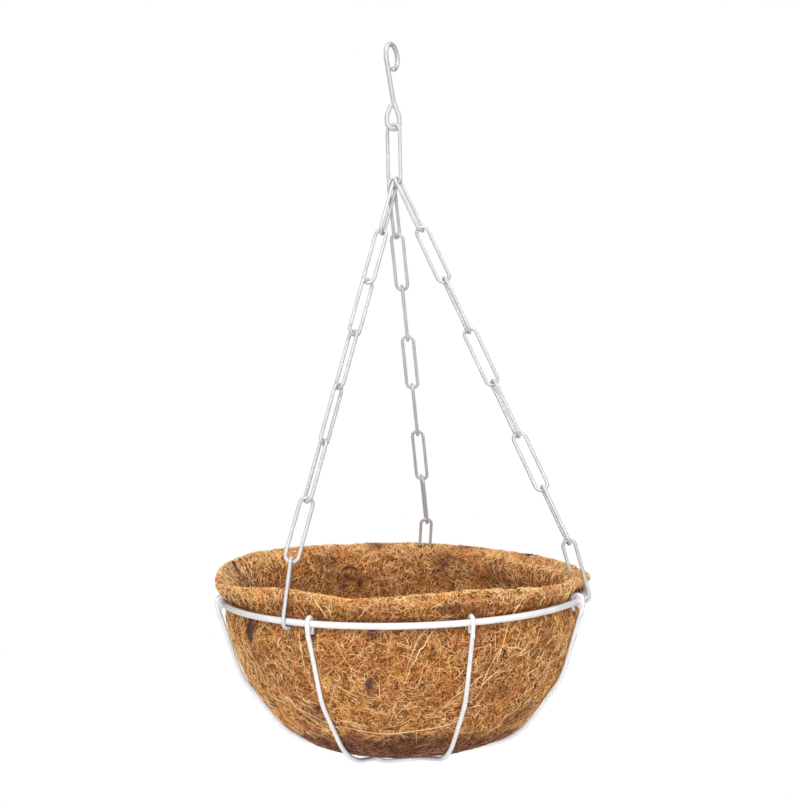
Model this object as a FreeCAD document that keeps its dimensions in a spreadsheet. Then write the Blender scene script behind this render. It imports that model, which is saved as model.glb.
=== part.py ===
import FreeCAD, Part
import Sketcher
import math
import os
import sys

# Hanging basket: a white coated wire basket with a moulded coir liner, hung
# from a twisted wire hook by three chains of long-pitch links.
# Millimetres, +Z up.  The origin is the point inside the top of the hook's
# crook where the hook bears on whatever it is hung from, so everything else
# lies below it.  Levels given as "over the ring" are measured from the plane
# of the top ring and moved down by hang_drop.

App = FreeCAD
V = FreeCAD.Vector
doc = FreeCAD.newDocument("hanging_basket")
sheet = doc.addObject("Spreadsheet::Sheet", "Dims")

CELLS = [
    ("hang_drop", 448.7),        # ring plane below the hanging point
    # top ring
    ("ring_radius", 147.5), ("ring_wire_rad", 2.4),
    # rib hoops
    ("rib_wire_rad", 1.7), ("rib_loop_off", 4.2), ("rib_knee_z", -3.5),
    ("rib_side_r", 133.8), ("rib_side_z", -60.3), ("rib_low_r", 96.5),
    ("rib_low_z", -110.8), ("rib_foot_r", 18.0), ("rib_knee_bend", 20.0),
    ("rib_side_bend", 56.0), ("rib_low_bend", 62.0), ("rib_foot_bend", 25.0),
    ("rib_base_z", -128.5), ("rib_stack", 3.45), ("rib_tail_z", -8.5),
    ("rib_tail_side", -1.0),
    # chain links
    ("link_wire_rad", 1.4), ("link_half_width", 4.9), ("link_pitch", 46.4),
    ("link_gap", 0.2), ("link_straight", 19.8),
    # master link
    ("master_wire_rad", 1.5), ("master_half_width", 6.6),
    ("master_straight", 18.5), ("master_top_z", 384.6),
    ("master_low_z", 334.4), ("master_turn", 320.5),
    # hanger hook
    ("hook_wire_rad", 2.0), ("crook_radius", 10.0), ("crook_mid_z", 440.7),
    ("crook_turn", 62.0), ("eye_turn", 25.0), ("eye_half_width", 5.3),
    ("eye_base_z", 380.9), ("eye_shoulder_z", 391.5), ("eye_neck_z", 403.5),
    # chains: bearing of each chain, and of its hook on the ring
    ("chain_a_turn", 234.1), ("chain_b_turn", 80.2), ("chain_c_turn", 341.0),
    ("chain_end_radius", 137.7), ("chain_end_z", 43.1),
    ("grip_a_turn", 235.6), ("grip_b_turn", 80.4), ("grip_c_turn", 343.5),
    ("grip_leg_radius", 152.2), ("grip_low_z", -4.75), ("grip_bend", 4.75),
    ("grip_lip", 2.5), ("grip_short_leg_z", 19.0),
    # liner
    ("notch_half_width", 12.0), ("notch_floor_z", 14.0),
    ("notch_front_radius", 141.6), ("notch_front_z", 5.0),
]
for row, (name, value) in enumerate(CELLS, start=1):
    sheet.set("A%d" % row, name)
    sheet.set("B%d" % row, str(value))
    sheet.setAlias("B%d" % row, name)
doc.recompute()


def dim(name):
    return float(sheet.get(name))


def bearing(deg):
    a = math.radians(deg)
    return V(math.cos(a), math.sin(a), 0)


Z = V(0, 0, 1)
DROP = V(0, 0, -dim("hang_drop"))


def unit(v):
    w = V(v)
    w.normalize()
    return w


def rounded_wire(points, radii):
    """Straight runs through the points, with a tangent arc at each corner."""
    edges = []
    cur = points[0]
    for i in range(1, len(points) - 1):
        p = points[i]
        d1 = unit(p - points[i - 1])
        d2 = unit(points[i + 1] - p)
        th = d1.getAngle(d2)
        if th < 1e-5:
            continue
        r = radii[i - 1]
        t = r * math.tan(th / 2)
        a = p - d1 * t
        b = p + d2 * t
        if (a - cur).Length > 1e-4:
            edges.append(Part.LineSegment(cur, a).toShape())
        else:
            a = cur
        inner = unit(d2 - d1)
        mid = p + inner * (r / math.cos(th / 2) - r)
        edges.append(Part.Arc(a, mid, b).toShape())
        cur = b
    if (points[-1] - cur).Length > 1e-4:
        edges.append(Part.LineSegment(cur, points[-1]).toShape())
    return Part.Wire(edges)


PARTS = []
NODES = {}


def swept_rod(label, points, radii, wire_alias):
    """A bent wire: a round section swept along lines and tangent arcs."""
    path = doc.addObject("Part::Feature", label + "_path")
    path.Shape = rounded_wire(points, radii)
    prof = doc.addObject("Part::Circle", label + "_section")
    prof.setExpression("Radius", "Dims." + wire_alias)
    start = points[0]
    prof.Placement = FreeCAD.Placement(start, FreeCAD.Rotation(Z, points[1] - points[0]))
    doc.recompute()
    sweep = doc.addObject("Part::Sweep", label)
    sweep.Sections = [prof]
    sweep.Spine = (path, ["Edge%d" % (i + 1) for i in range(len(path.Shape.Edges))])
    sweep.Solid = True
    sweep.Frenet = False
    sweep.Transition = 0
    sweep.Label = label
    NODES[label] = sweep
    PARTS.append((label, sweep, path.Shape.Length * math.pi * dim(wire_alias) ** 2))
    return sweep


def plane_of(body, role):
    for f in body.Origin.OriginFeatures:
        if f.Role == role:
            return f
    raise RuntimeError(role)


def link_body(label, half_alias, straight_alias, wire_alias, mid, w, u):
    """Closed oval link, long axis along u and width along w."""
    body = doc.addObject("PartDesign::Body", label)
    body.Label = label
    path = body.newObject("Sketcher::SketchObject", label + "_oval")
    path.AttachmentSupport = [(plane_of(body, "XZ_Plane"), "")]
    path.MapMode = "FlatFace"
    a = dim(half_alias)
    s = dim(straight_alias)
    g = []
    g.append(path.addGeometry(Part.LineSegment(V(a, 0, 0), V(a, s, 0))))
    g.append(path.addGeometry(Part.ArcOfCircle(Part.Circle(V(0, s, 0), V(0, 0, 1), a), 0, math.pi)))
    g.append(path.addGeometry(Part.LineSegment(V(-a, s, 0), V(-a, -s, 0))))
    g.append(path.addGeometry(Part.ArcOfCircle(Part.Circle(V(0, -s, 0), V(0, 0, 1), a), math.pi, 2 * math.pi)))
    g.append(path.addGeometry(Part.LineSegment(V(a, -s, 0), V(a, 0, 0))))
    C = Sketcher.Constraint
    path.addConstraint(C("Tangent", 0, 2, 1, 1))
    path.addConstraint(C("Tangent", 1, 2, 2, 1))
    path.addConstraint(C("Tangent", 2, 2, 3, 1))
    path.addConstraint(C("Tangent", 3, 2, 4, 1))
    path.addConstraint(C("Coincident", 4, 2, 0, 1))
    path.addConstraint(C("Vertical", 0))
    path.addConstraint(C("Vertical", 4))
    path.addConstraint(C("PointOnObject", 1, 3, -2))
    path.addConstraint(C("PointOnObject", 0, 1, -1))
    k = path.addConstraint(C("Radius", 1, a))
    path.renameConstraint(k, "half_width")
    path.setExpression("Constraints.half_width", "Dims." + half_alias)
    k = path.addConstraint(C("DistanceY", 0, 1, 0, 2, s))
    path.renameConstraint(k, "upper_run")
    path.setExpression("Constraints.upper_run", "Dims." + straight_alias)
    k = path.addConstraint(C("DistanceY", 4, 1, 4, 2, s))
    path.renameConstraint(k, "lower_run")
    path.setExpression("Constraints.lower_run", "Dims." + straight_alias)
    prof = body.newObject("Sketcher::SketchObject", label + "_round")
    prof.AttachmentSupport = [(plane_of(body, "XY_Plane"), "")]
    prof.MapMode = "FlatFace"
    r = dim(wire_alias)
    prof.addGeometry(Part.Circle(V(a, 0, 0), V(0, 0, 1), r))
    prof.addConstraint(C("PointOnObject", 0, 3, -1))
    k = prof.addConstraint(C("Radius", 0, r))
    prof.renameConstraint(k, "wire")
    prof.setExpression("Constraints.wire", "Dims." + wire_alias)
    k = prof.addConstraint(C("DistanceX", -1, 1, 0, 3, a))
    prof.renameConstraint(k, "out")
    prof.setExpression("Constraints.out", "Dims." + half_alias)
    doc.recompute()
    pipe = body.newObject("PartDesign::AdditivePipe", label + "_pipe")
    pipe.Profile = prof
    pipe.Spine = (path, [])
    body.Tip = pipe
    zc = unit(u * -1.0)
    xc = unit(w)
    yc = zc.cross(xc)
    body.Placement = FreeCAD.Placement(mid, FreeCAD.Rotation(xc, yc, zc, "ZXY"))
    NODES[label] = body
    PARTS.append((label, body, (2 * math.pi * a + 4 * s) * math.pi * r * r))
    return body


# ---------------------------------------------------------------- hanger hook
def hanger_hook():
    dc = bearing(dim("crook_turn"))
    de = bearing(dim("eye_turn"))
    zc = dim("crook_mid_z")
    rc = dim("crook_radius")
    ew = dim("eye_half_width")
    zb = dim("eye_base_z")
    zs = dim("eye_shoulder_z")
    zn = dim("eye_neck_z")

    def f(s, z):
        return dc * s + Z * z + DROP

    def g(s, z):
        return de * s + Z * z + DROP

    pts = [f(0, zc - rc), f(rc, zc - rc), f(rc, zc + rc), f(-rc, zc + rc),
           f(-rc, zc - 3.2), g(0.6, zn), g(ew + 0.4, zs), g(ew, zb), g(-ew, zb),
           g(-ew - 0.4, zs), g(-2.45, zn - 4.5)]
    rad = [rc, rc, rc, 12.0, 15.0, 12.0, 5.2, 5.2, 12.0]
    swept_rod("hanger_hook", pts, rad, "hook_wire_rad")


hanger_hook()

# ---------------------------------------------------------------- master link
WM = bearing(dim("master_turn"))
NM = bearing(dim("master_turn") + 90)
link_body("master_link", "master_half_width", "master_straight", "master_wire_rad",
          Z * ((dim("master_top_z") + dim("master_low_z")) / 2) + DROP, WM, Z * -1.0)

# --------------------------------------------------------------------- chains
# For each chain: where its first link sits on the master link's lower bend
# (angle round the bend, distance in from the wire, shift across it), then the
# turn of each link about the chain's own line.
CHAINS = {
    "a": dict(seat=(-5.1, 2.98, 1.61), turn=(-72, 27, -35, 53, -56, 59, -5), leg=270.0),
    "b": dict(seat=(-55.7, 3.24, -1.17), turn=(-59, 11, 90, 11, 90, 11, 82), leg=0.0),
    "c": dict(seat=(68.4, 3.11, -1.01), turn=(-64, 0, 81, 0, 75, 0, 84), leg=0.0),
}
for name, c in CHAINS.items():
    th = math.radians(c["seat"][0])
    reach = dim("master_half_width") - c["seat"][1]
    top = (Z * (dim("master_low_z") + dim("master_half_width"))
           + (WM * math.sin(th) - Z * math.cos(th)) * reach + NM * c["seat"][2])
    end = bearing(dim("chain_%s_turn" % name)) * dim("chain_end_radius") + Z * dim("chain_end_z")
    u = unit(end - top)
    w0 = unit(V(0, 1, 0).cross(u))
    n0 = u.cross(w0)
    step = 2 * dim("link_wire_rad") + dim("link_gap")
    long_ = dim("link_pitch") + step
    for i, psi in enumerate(c["turn"]):
        t = top + u * (dim("link_pitch") * i)
        s = math.radians(psi)
        w = w0 * math.cos(s) + n0 * math.sin(s)
        link_body("chain_%s_link_%d" % (name, i + 1), "link_half_width", "link_straight",
                  "link_wire_rad", t + u * (long_ / 2) + DROP, w, u)
    # end hook: bend over the last link, short leg in, long leg out and down
    # past the ring, and a lip curled in beneath it
    T8 = top + u * (dim("link_pitch") * 7)
    er = bearing(dim("grip_%s_turn" % name))
    wh = bearing(c["leg"])
    a = dim("link_half_width")
    foot = er * dim("grip_leg_radius") + Z * 2.0
    u8 = unit(foot - wh * a - T8)
    w8 = unit(wh - u8 * wh.dot(u8))
    a_in = T8 - w8 * a
    a_out = T8 + w8 * a
    run = (a_in.z - dim("grip_short_leg_z")) / -u8.z
    tip = a_in + u8 * run
    low = er * dim("grip_leg_radius") + Z * dim("grip_low_z")
    lip = er * (dim("grip_leg_radius") - dim("grip_bend") - dim("grip_lip")) + Z * dim("grip_low_z")
    swept_rod("chain_%s_end_hook" % name,
              [p + DROP for p in (tip, a_in, a_out, foot, low, lip)],
              [a, a, 9.0, dim("grip_bend")], "link_wire_rad")

# ------------------------------------------------------------------- top ring
ring = doc.addObject("Part::Torus", "top_ring")
ring.setExpression("Radius1", "Dims.ring_radius")
ring.setExpression("Radius2", "Dims.ring_wire_rad")
ring.Label = "top_ring"
ring.Placement = FreeCAD.Placement(DROP, FreeCAD.Rotation())
NODES["top_ring"] = ring
PARTS.append(("top_ring", ring, 2 * math.pi ** 2 * dim("ring_radius") * dim("ring_wire_rad") ** 2))

# ------------------------------------------------------------------ rib hoops
# Each hoop runs down one side, under the bowl and up the other.  Both ends
# rise outside the ring, turn over it and finish in a short tail inside it.
# The hoops cross one under another at the bottom.
HOOPS = [("rib_hoop_1", 243.3, 1, 1), ("rib_hoop_2", 288.5, -1, -1),
         ("rib_hoop_3", 335.0, -1, 1), ("rib_hoop_4", 193.0, 1, -1)]
for level, (label, turn, side_a, side_b) in enumerate(HOOPS):
    er = bearing(turn)
    et = Z.cross(er)
    off = dim("rib_loop_off")
    out = dim("ring_radius") + off
    base = dim("rib_base_z") - level * dim("rib_stack")
    low_z = dim("rib_low_z") - (3.0 if level == 0 else 0.0)

    def p(rho, z, tang=0.0):
        return er * rho + et * tang + Z * z + DROP

    half = [(out, dim("rib_knee_z")), (dim("rib_side_r"), dim("rib_side_z")),
            (dim("rib_low_r"), low_z), (dim("rib_foot_r"), base)]
    bends = [dim("rib_knee_bend"), dim("rib_side_bend"), dim("rib_low_bend"), dim("rib_foot_bend")]
    ts = dim("rib_tail_side")
    loop_r = math.hypot(2 * off, ts) / 2
    inner = out - 2 * off

    def end_points(sign, side):
        return [p(sign * inner, dim("rib_tail_z"), side * ts), p(sign * inner, loop_r, side * ts),
                p(sign * out, loop_r)]

    pts = end_points(1, side_a) + [p(r, z) for r, z in half]
    pts += [p(-r, z) for r, z in reversed(half)] + list(reversed(end_points(-1, side_b)))
    rad = [loop_r, loop_r] + bends + list(reversed(bends)) + [loop_r, loop_r]
    swept_rod(label, pts, rad, "rib_wire_rad")

# ---------------------------------------------------------------- coir liner
# A bowl revolved about the basket's axis: the outside lies just inside the
# ribs, and the lip flares out over the ring.
LINER = [
    ("foot", 0.0, -126.3), ("heel", 10.1, -126.3), ("heelb", 20.4, -125.8), ("toe", 41.0, -121.9),
    ("lowa", 63.7, -117.4), ("lowb", 75.9, -114.0), ("lowc", 87.9, -109.1),
    ("mida", 98.6, -101.7), ("midb", 107.5, -92.1), ("midc", 115.5, -81.4),
    ("wall", 123.7, -70.1), ("walb", 131.6, -57.9), ("walc", 136.5, -44.3), ("wald", 141.1, -29.9),
    ("shoulder", 145.4, -14.6), ("neck", 141.2, -10.4), ("throat", 141.2, 6.9), ("flarea", 149.5, 7.6),
    ("flareb", 152.6, 11.5), ("flarec", 151.4, 17.5), ("crest", 147.0, 21.6),
    ("crestb", 140.5, 21.8), ("crestc", 135.8, 17.5), ("ina", 132.4, 6.0),
    ("inb", 132.2, -8.0), ("inc", 134.8, -16.0), ("ind", 128.8, -38.0),
    ("ine", 118.6, -61.0), ("inf", 105.4, -80.6), ("ing", 89.0, -97.0),
    ("inh", 70.0, -107.0), ("ini", 45.0, -113.0), ("inj", 0.0, -117.3),
]
row = len(CELLS) + 1
for name, r, z in LINER:
    for tag, value in (("_rad", r), ("_lev", z)):
        sheet.set("A%d" % row, "liner_" + name + tag)
        sheet.set("B%d" % row, str(value))
        sheet.setAlias("B%d" % row, "liner_" + name + tag)
        row += 1
doc.recompute()
bowl = doc.addObject("PartDesign::Body", "liner_bowl")
bowl.Label = "liner_bowl"
sk = bowl.newObject("Sketcher::SketchObject", "liner_section")
sk.AttachmentSupport = [(plane_of(bowl, "XZ_Plane"), "")]
sk.MapMode = "FlatFace"
n = len(LINER)
for i in range(n):
    r1, z1 = LINER[i][1:]
    r2, z2 = LINER[(i + 1) % n][1:]
    sk.addGeometry(Part.LineSegment(V(r1, z1, 0), V(r2, z2, 0)))
for i in range(n):
    sk.addConstraint(Sketcher.Constraint("Coincident", i, 2, (i + 1) % n, 1))
for i, (name, r, z) in enumerate(LINER):
    if r == 0.0:
        sk.addConstraint(Sketcher.Constraint("PointOnObject", i, 1, -2))
    else:
        k = sk.addConstraint(Sketcher.Constraint("DistanceX", -1, 1, i, 1, r))
        sk.renameConstraint(k, "rad_" + name)
        sk.setExpression("Constraints.rad_" + name, "Dims.liner_" + name + "_rad")
    k = sk.addConstraint(Sketcher.Constraint("DistanceY", -1, 1, i, 1, z))
    sk.renameConstraint(k, "lev_" + name)
    sk.setExpression("Constraints.lev_" + name, "Dims.liner_" + name + "_lev")
doc.recompute()
rev = bowl.newObject("PartDesign::Revolution", "liner_revolved")
rev.Profile = sk
rev.ReferenceAxis = (sk, ["V_Axis"])
rev.Angle = 360.0
bowl.Tip = rev
bowl.Placement = FreeCAD.Placement(DROP, FreeCAD.Rotation())

# recesses for the end hooks: the flare is cut back outside each hook, and at
# the two hooks that straddle the lip the lip is cut down as well
tools = []
for name in "abc":
    turn = dim("grip_%s_turn" % name)
    rot = FreeCAD.Rotation(Z, turn)
    cuts = [("front", "notch_front_radius", "notch_front_z")]
    if name != "b":
        cuts.append(("gap", None, "notch_floor_z"))
    for tag, r_alias, z_alias in cuts:
        box = doc.addObject("Part::Box", "recess_%s_%s" % (name, tag))
        box.setExpression("Width", "Dims.notch_half_width * 2")
        box.Height = 40.0
        r0 = dim(r_alias) if r_alias else 120.0
        box.Length = 165.0 - r0
        corner = rot.multVec(V(r0, -dim("notch_half_width"), dim(z_alias))) + DROP
        box.Placement = FreeCAD.Placement(corner, rot)
        tools.append(box)
fuse = doc.addObject("Part::MultiFuse", "liner_recesses")
fuse.Shapes = tools
liner = doc.addObject("Part::Cut", "coco_liner")
liner.Base = bowl
liner.Tool = fuse
liner.Label = "coco_liner"
NODES["coco_liner"] = liner
PARTS.append(("coco_liner", liner, None))

doc.recompute()

# ------------------------------------------------------------- check and write
bad = [o.Label for o in doc.Objects if any(s in ("Invalid", "Error") for s in o.State)]
if bad:
    raise SystemExit("failed objects: " + ", ".join(bad))
os.makedirs("parts", exist_ok=True)
for label, obj, want in PARTS:
    shape = obj.Shape
    if shape.isNull() or not shape.isValid():
        raise SystemExit("bad shape: " + label)
    if len(shape.Solids) != 1:
        raise SystemExit("%s has %d solids" % (label, len(shape.Solids)))
    if want is not None and abs(shape.Volume - want) > 0.01 * want:
        raise SystemExit("%s volume %.1f, expected %.1f" % (label, shape.Volume, want))
for label, obj, want in PARTS:
    obj.Shape.exportStep("parts/%s.step" % label)
print("wrote %d parts" % len(PARTS))
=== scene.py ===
import bpy
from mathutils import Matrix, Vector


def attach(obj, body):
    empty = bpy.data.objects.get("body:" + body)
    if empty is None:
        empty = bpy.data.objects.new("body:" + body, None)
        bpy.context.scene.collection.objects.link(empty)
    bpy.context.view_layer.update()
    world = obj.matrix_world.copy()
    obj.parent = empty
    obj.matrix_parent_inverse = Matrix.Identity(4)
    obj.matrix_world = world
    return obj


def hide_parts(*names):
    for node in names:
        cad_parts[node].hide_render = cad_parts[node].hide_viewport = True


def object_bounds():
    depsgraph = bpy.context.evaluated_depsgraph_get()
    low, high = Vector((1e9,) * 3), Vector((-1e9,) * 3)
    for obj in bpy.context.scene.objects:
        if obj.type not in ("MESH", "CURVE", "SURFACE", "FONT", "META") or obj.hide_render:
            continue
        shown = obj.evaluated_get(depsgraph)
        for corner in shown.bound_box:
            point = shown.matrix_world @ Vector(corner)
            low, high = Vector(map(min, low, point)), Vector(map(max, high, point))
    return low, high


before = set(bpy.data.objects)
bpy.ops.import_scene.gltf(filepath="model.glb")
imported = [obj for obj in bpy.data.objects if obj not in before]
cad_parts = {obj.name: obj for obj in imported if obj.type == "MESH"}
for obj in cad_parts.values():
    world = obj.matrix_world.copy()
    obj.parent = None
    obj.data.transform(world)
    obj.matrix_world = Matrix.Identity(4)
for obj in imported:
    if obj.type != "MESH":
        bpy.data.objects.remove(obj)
import bpy
import math
import numpy as np
from mathutils import Matrix, Vector, noise
from mathutils.bvhtree import BVHTree

CAD_LO, CAD_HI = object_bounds()
MM = 0.001
RNG = np.random.default_rng(20318)
scene = bpy.context.scene

# ------------------------------------------------------------------ helpers
def A3(*v):
    return np.array(v, float)


ZED = A3(0, 0, 1)


def unit(v):
    v = np.asarray(v, float)
    return v / np.linalg.norm(v)


def bearing(deg):
    a = math.radians(deg)
    return A3(math.cos(a), math.sin(a), 0)


def rounded(pts, radii, step):
    """Points along straight runs with tangent arcs at the corners, in mm."""
    out = []
    pts = [np.asarray(p, float) for p in pts]
    cur = pts[0]
    for i in range(1, len(pts) - 1):
        p = pts[i]
        d1 = unit(p - pts[i - 1])
        d2 = unit(pts[i + 1] - p)
        th = math.acos(max(-1.0, min(1.0, float(d1 @ d2))))
        if th < 1e-6:
            continue
        r = radii[i - 1]
        t = r * math.tan(th / 2)
        a = p - d1 * t
        b = p + d2 * t
        length = np.linalg.norm(a - cur)
        if length > step * 0.3:
            n = max(2, int(length / step) + 1)
            seg = [cur + (a - cur) * k for k in np.linspace(0, 1, n)]
            out += seg if not out else seg[1:]
        nrm = unit(np.cross(d1, d2))
        c = a + np.cross(nrm, d1) * r
        m = max(4, int(r * th / (step * 0.7)) + 1)
        arc = [c + (a - c) * math.cos(th * k) + np.cross(nrm, a - c) * math.sin(th * k) for k in np.linspace(0, 1, m)]
        out += arc if not out else arc[1:]
        cur = b
    length = np.linalg.norm(pts[-1] - cur)
    n = max(2, int(length / step) + 1)
    out += [cur + (pts[-1] - cur) * k for k in np.linspace(0, 1, n)][1:]
    return np.array(out)


def new_mesh(name, verts, faces, smooth=True, sizes=None):
    """verts (n,3) in metres; faces: (m,k) array, or flat loops with sizes."""
    me = bpy.data.meshes.new(name)
    verts = np.asarray(verts, np.float32)
    if sizes is None:
        faces = np.asarray(faces, np.int32)
        k = faces.shape[1]
        loops = faces.ravel()
        starts = np.arange(len(faces), dtype=np.int32) * k
        totals = np.full(len(faces), k, np.int32)
    else:
        loops = np.asarray(faces, np.int32)
        totals = np.asarray(sizes, np.int32)
        starts = np.concatenate([[0], np.cumsum(totals)[:-1]]).astype(np.int32)
    me.vertices.add(len(verts))
    me.vertices.foreach_set("co", verts.ravel())
    me.loops.add(len(loops))
    me.loops.foreach_set("vertex_index", loops)
    me.polygons.add(len(totals))
    me.polygons.foreach_set("loop_start", starts)
    me.polygons.foreach_set("loop_total", totals)
    me.update(calc_edges=True)
    me.validate()
    if smooth:
        me.polygons.foreach_set("use_smooth", np.ones(len(me.polygons), bool))
    ob = bpy.data.objects.new(name, me)
    scene.collection.objects.link(ob)
    return ob


def attribute(ob, name, values):
    at = ob.data.attributes.new(name, "FLOAT", "POINT")
    at.data.foreach_set("value", np.asarray(values, np.float32))


def frames_along(path, closed):
    """Rotation-minimising frames: tangents and two normals at each point."""
    n = len(path)
    if closed:
        tan = np.roll(path, -1, 0) - np.roll(path, 1, 0)
    else:
        tan = np.gradient(path, axis=0)
    tan /= np.linalg.norm(tan, axis=1)[:, None]
    ref = A3(0, 0, 1) if abs(tan[0][2]) < 0.9 else A3(1, 0, 0)
    u = unit(np.cross(tan[0], ref))
    us = [u]
    for i in range(1, n):
        a = np.cross(tan[i - 1], tan[i])
        s = np.linalg.norm(a)
        if s > 1e-9:
            a /= s
            ang = math.atan2(s, float(tan[i - 1] @ tan[i]))
            u = u * math.cos(ang) + np.cross(a, u) * math.sin(ang) + a * (a @ u) * (1 - math.cos(ang))
        u = unit(u - tan[i] * (u @ tan[i]))
        us.append(u)
    us = np.array(us)
    if closed:
        # take out the twist left after one lap
        last = us[-1]
        v0 = us[0] - tan[-1] * (us[0] @ tan[-1])
        v0 = unit(v0)
        ang = math.atan2(float(np.cross(last, v0) @ tan[-1]), float(last @ v0))
        ks = np.linspace(0, ang, n)
        us = np.array([q * math.cos(k) + np.cross(t, q) * math.sin(k) for q, t, k in zip(us, tan, ks)])
    return tan, us, np.cross(tan, us)


def wobble(path, scale, seed, amount):
    """Slow coating-thickness variation along a wire."""
    off = Vector((seed * 7.31, seed * 3.17, seed * 1.93))
    return np.array([noise.noise(Vector(p) * scale + off) for p in path]) * amount


def wire(name, path, radius, closed=False, sides=16, seed=1, rough=0.02, extra=None, blunt=True):
    """A coated wire, in mm, as one closed mesh with rounded ends."""
    n = len(path)
    tan, us, vs = frames_along(path, closed)
    rad = np.full(n, radius) * (1 - abs(rough)) + radius * wobble(path, 0.09, seed, rough)
    if extra is not None:
        rad = rad * extra
    path = path.copy()
    rings = []
    angs = np.linspace(0, 2 * math.pi, sides, endpoint=False)
    ca, sa = np.cos(angs), np.sin(angs)
    for i in range(n):
        rings.append(path[i] + rad[i] * (ca[:, None] * us[i] + sa[:, None] * vs[i]))
    if not closed:
        # a cut end under its coating: a shallow dome
        def dome(c, t, u, v, r):
            out = []
            for h, k in ((0.0, 1.0), (0.10, 0.96), (0.22, 0.84), (0.30, 0.62), (0.34, 0.32)):
                out.append(c + t * r * h + r * k * (ca[:, None] * u + sa[:, None] * v))
            return out[1:]
        first = dome(path[0] + tan[0] * radius * 0.34, -tan[0], us[0], vs[0], rad[0])
        last = dome(path[-1] - tan[-1] * radius * 0.34, tan[-1], us[-1], vs[-1], rad[-1])
        rings[0] = rings[0] + tan[0] * radius * 0.34
        rings[-1] = rings[-1] - tan[-1] * radius * 0.34
        rings = first[::-1] + rings + last
    verts = np.concatenate(rings)
    m = len(rings)
    faces = []
    idx = np.arange(sides)
    nxt = (idx + 1) % sides
    for i in range(m if closed else m - 1):
        a = i * sides
        b = ((i + 1) % m) * sides
        faces.append(np.stack([a + idx, b + idx, b + nxt, a + nxt], 1)[:, ::-1])
    quads = np.concatenate(faces)
    loops = list(quads.ravel())
    sizes = [4] * len(quads)
    if not closed:
        loops += list(idx) + list((m - 1) * sides + idx[::-1])
        sizes += [sides, sides]
    ob = new_mesh(name, verts * MM, loops, sizes=sizes)
    # outward normals
    import bmesh
    bm = bmesh.new()
    bm.from_mesh(ob.data)
    bmesh.ops.recalc_face_normals(bm, faces=bm.faces)
    bm.to_mesh(ob.data)
    bm.free()
    ob.data.polygons.foreach_set("use_smooth", np.ones(len(ob.data.polygons), bool))
    return ob


# ------------------------------------------------- dimensions, as in the CAD
DROP = A3(0, 0, -448.7)
RING_R, RING_W = 147.5, 2.4
RIB_W, LINK_W, MASTER_W, HOOK_W = 1.7, 1.4, 1.5, 2.0
HALF, PITCH, GAP = 4.9, 46.4, 0.2
M_HALF, M_TOP, M_LOW, M_TURN = 6.6, 384.6, 334.4, 320.5
CHAINS = {
    "a": dict(seat=(-5.1, 2.98, 1.61), turn=(-72, 27, -35, 53, -56, 59, -5), leg=270.0, way=234.1, grip=235.6),
    "b": dict(seat=(-55.7, 3.24, -1.17), turn=(-59, 11, 90, 11, 90, 11, 82), leg=0.0, way=80.2, grip=80.4),
    "c": dict(seat=(68.4, 3.11, -1.01), turn=(-64, 0, 81, 0, 75, 0, 84), leg=0.0, way=341.0, grip=343.5),
}
HOOPS = [("rib_hoop_1", 243.3, 1, 1), ("rib_hoop_2", 288.5, -1, -1),
         ("rib_hoop_3", 335.0, -1, 1), ("rib_hoop_4", 193.0, 1, -1)]

WIRES = {}


def oval_path(mid, w, u, half, straight, step=0.7):
    top = mid - u * (straight + half)
    bot = mid + u * (straight + half)
    p = rounded([mid + w * half, top + w * half, top - w * half, bot - w * half, bot + w * half, mid + w * half],
                [half] * 4, step)
    return p[:-1]


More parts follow.
